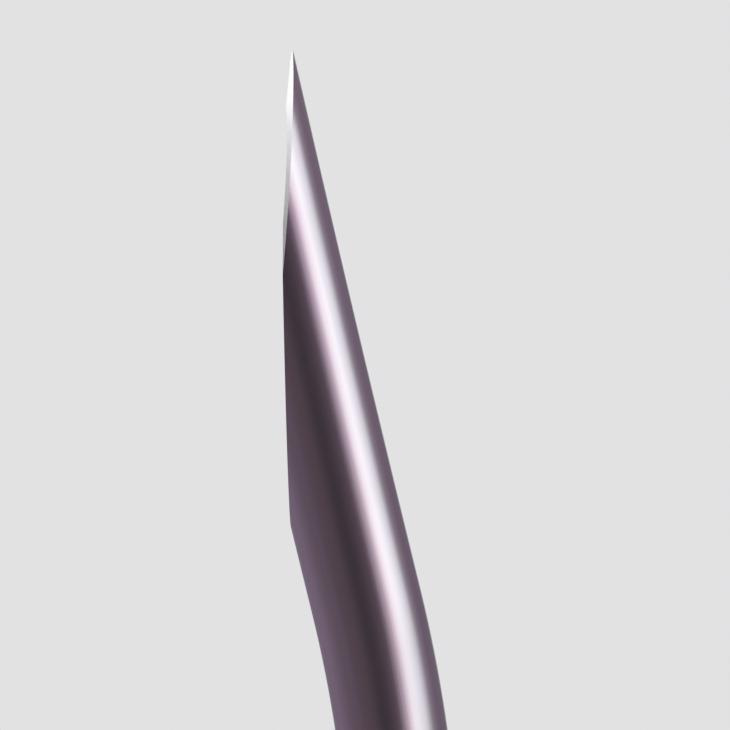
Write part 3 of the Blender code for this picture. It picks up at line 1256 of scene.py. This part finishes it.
@dataclass(frozen=True)
class Lamp:
    """A soft rectangular light that faces the needle."""

    name: str
    azimuth: float
    elevation: float
    distance: float
    size: Span
    power: float
    colour: Triple = (1.0, 1.0, 1.0)

    def build(self, view_azimuth: float, target: Vector) -> bpy.types.Object:
        """Make the light.

        Args:
            view_azimuth: The camera's azimuth, from which the light's is measured.
            target: The point that it faces.

        Returns:
            The linked light.
        """
        data = bpy.data.lights.new(self.name, 'AREA')
        data.shape = 'RECTANGLE'
        data.size, data.size_y = self.size
        data.energy, data.color = self.power, self.colour
        towards = direction(view_azimuth + self.azimuth, self.elevation)
        lamp = bpy.data.objects.new(self.name, data)
        lamp.location = target + towards * self.distance
        lamp.rotation_mode = 'QUATERNION'
        lamp.rotation_quaternion = towards.to_track_quat('Z', 'Y')
        lamp.visible_camera = lamp.visible_glossy = lamp.visible_transmission = False
        bpy.context.scene.collection.objects.link(lamp)
        return lamp


@dataclass
class Studio:
    """Pale floor, pale surroundings and a round tent of graded card for the steel to mirror.

    The tent's cards are (degrees from the camera, colour) each, in order. The span and
    the softness of the bright card that lights the point's far rim are in degrees too.
    """

    view_azimuth: float
    background: Triple = (0.76, 0.76, 0.77)
    soft_light: Triple = (0.50, 0.50, 0.505)
    floor_colour: Triple = (0.84, 0.84, 0.845)
    floor_radius: float = 0.9
    floor_sides: int = 96
    floor_fade: Span = (0.03, 0.13)
    tent_radius: float = 0.12
    tent_height: float = 0.26
    tent_lift: float = 0.2 * MM
    tent_sides: int = 180
    tent_skirt_radius: float = 0.03
    tent_cards: tuple[tuple[float, Triple], ...] = (
        (-180, (0.82, 0.82, 0.83)),
        (-168, (0.82, 0.82, 0.83)),
        (-160, (0.27, 0.215, 0.285)),
        (-115, (0.28, 0.213, 0.295)),
        (-64, (0.182, 0.132, 0.178)),
        (-34, (0.130, 0.093, 0.115)),
        (-4, (0.062, 0.046, 0.060)),
        (23, (0.123, 0.085, 0.116)),
        (36, (0.68, 0.53, 0.65)),
        (47, (1.42, 1.26, 1.37)),
        (54, (1.70, 1.68, 1.72)),
        (63, (1.58, 1.61, 1.64)),
        (75, (1.28, 1.31, 1.38)),
        (102, (0.32, 0.27, 0.33)),
        (118, (0.245, 0.178, 0.24)),
        (160, (0.23, 0.19, 0.24)),
        (168, (0.76, 0.76, 0.77)),
    )
    rim_card: Triple = (2.30, 2.30, 2.31)
    rim_card_span: Span = (-170.0, -124.0)
    rim_card_softness: float = 5.0
    rim_card_foot: float = 0.036
    rim_card_foot_softness: float = 0.004
    tent_lean: float = 3.6
    tent_lean_foot: float = 0.044
    tent_dimming: float = 0.88
    tent_dim_heights: Span = (0.050, 0.064)
    skirt_card: Triple = (0.60, 0.57, 0.60)
    skirt_share: float = 0.38
    lamp_target: float = 20 * MM
    lamps: tuple[Lamp, ...] = (
        Lamp("key_lamp", math.radians(58), math.radians(28), 0.34, (0.16, 0.26), 0.66),
        Lamp("top_lamp", math.radians(-40), math.radians(74), 0.40, (0.24, 0.24), 0.34),
        Lamp("back_lamp", math.radians(-138), math.radians(32), 0.36, (0.20, 0.26), 0.36),
    )

    def _world(self) -> None:
        """Pale surroundings, with a softer level for what they light."""
        world = bpy.data.worlds.new("surroundings")
        bpy.context.scene.world = world
        world.use_nodes = True
        bench = Bench(world.node_tree)
        rays = bench.add("LightPath").outputs
        mirrored = bench.math('MAXIMUM', rays["Is Glossy Ray"], rays["Is Transmission Ray"])
        seen = bench.math('MAXIMUM', rays["Is Camera Ray"], mirrored)
        bench.feed(world.node_tree.nodes["Background"], {
            "Color": bench.blend(seen, self.soft_light, self.background), "Strength": 1.0})

    def _floor(self) -> None:
        """Pale floor that turns into the surroundings away from the needle."""
        bm = bmesh.new()
        bmesh.ops.create_circle(bm, cap_ends=True, segments=self.floor_sides,
                                radius=self.floor_radius)
        material, bench, surface = surface_material("pale_paper")
        paper = bench.add("BsdfDiffuse", {"Color": (*self.floor_colour, 1.0)})
        glow = bench.add("Emission", {"Color": (*self.background, 1.0), "Strength": 1.0})
        away = bench.ramp(bench.reach(), *self.floor_fade, smooth=True)
        mixed = bench.add("MixShader", {0: away, 1: paper.outputs[0], 2: glow.outputs[0]})
        bench.feed(surface, {"Surface": mixed.outputs[0]})
        floor = linked_object("floor", "floor_mesh", bm, [material])

    def _card_tone(self, bench: Bench, turn: bpy.types.NodeSocket,
                   height: bpy.types.NodeSocket) -> bpy.types.NodeSocket:
        """Grade the card of the tent's wall.

        Args:
            bench: The card's node tree.
            turn: Angle round the tent, in radians from the camera.
            height: Height above the floor.

        Returns:
            The colour, with the rim card over it.
        """
        card = bench.add("ValToRGB", {0: bench.ramp(turn, -math.pi, math.pi)})
        card.color_ramp.interpolation = 'EASE'
        stops = card.color_ramp.elements
        given = len(stops)
        for index, (degrees, colour) in enumerate(self.tent_cards):
            stop = stops[index] if index < given else stops.new(1.0)
            stop.position = (degrees + 180) / 360
            stop.color = (*colour, 1.0)
        level = bench.ramp(height, *self.tent_dim_heights, self.tent_dimming, 1.0, smooth=True)
        dimmed = bench.blend(level, (0.0, 0.0, 0.0), card.outputs["Color"])
        near, far = (math.radians(degrees) for degrees in self.rim_card_span)
        soft = math.radians(self.rim_card_softness)
        behind = bench.math('MULTIPLY', bench.ramp(turn, near - soft, near + soft),
                            bench.ramp(turn, far + soft, far - soft))
        above = bench.ramp(height, self.rim_card_foot - self.rim_card_foot_softness,
                           self.rim_card_foot + self.rim_card_foot_softness)
        return bench.blend(bench.math('MULTIPLY', behind, above), dimmed, self.rim_card)

    def _tent(self) -> None:
        """Bowl of graded card round the object, which only its reflections show."""
        bm = bmesh.new()
        bmesh.ops.create_circle(bm, segments=self.tent_sides, radius=self.tent_skirt_radius,
                                matrix=Matrix.Translation((0, 0, self.tent_lift)))
        skirt = bmesh.ops.extrude_edge_only(bm, edges=bm.edges)["geom"]
        widening = self.tent_radius / self.tent_skirt_radius
        bmesh.ops.scale(bm, verts=verts_of(skirt), vec=(widening, widening, 1))
        wall = bmesh.ops.extrude_edge_only(bm, edges=far_edges(skirt))["geom"]
        bmesh.ops.translate(bm, verts=verts_of(wall), vec=(0, 0, self.tent_height))
        material, bench, surface = surface_material("graded_card")
        place = bench.axes()
        round_z = bench.math('ARCTAN2', place["X"], bench.math('MULTIPLY', place["Y"], -1.0))
        lean = bench.math('MULTIPLY', bench.math('SUBTRACT', place["Z"], self.tent_lean_foot),
                          self.tent_lean)
        upright = bench.math('SUBTRACT', bench.math('SUBTRACT', round_z, lean), self.view_azimuth)
        turn = bench.math('WRAP', upright, math.pi, -math.pi)
        inner = bench.ramp(bench.reach(), self.tent_radius, self.tent_skirt_radius, 0.0,
                           self.skirt_share, smooth=True)
        colour = bench.blend(inner, self._card_tone(bench, turn, place["Z"]), self.skirt_card)
        glow = bench.add("Emission", {"Color": colour, "Strength": 1.0})
        bench.feed(surface, {"Surface": glow.outputs[0]})
        tent = linked_object("tent", "tent_mesh", bm, [material])
        tent.visible_camera = tent.visible_diffuse = tent.visible_shadow = False
        tent.visible_transmission = tent.visible_volume_scatter = False

    def build(self) -> None:
        """Set the light level, the surroundings, the floor, the tent and the lamps."""
        bpy.context.scene.view_settings.view_transform = 'Standard'
        self._world()
        self._floor()
        self._tent()
        for lamp in self.lamps:
            lamp.build(self.view_azimuth, Vector((0, 0, self.lamp_target)))


def main() -> None:
    """Build the needle's pieces and the studio in order."""
    logging.basicConfig(level=logging.INFO, format="%(name)s: %(message)s")
    viewpoint = Viewpoint()
    viewpoint.build()
    effects = SharedEffects.make()
    for part in (Cannula(), Hub(), Adhesive()):
        part.build(effects)
    Studio(viewpoint.azimuth).build()


if __name__ == "__main__":
    main()
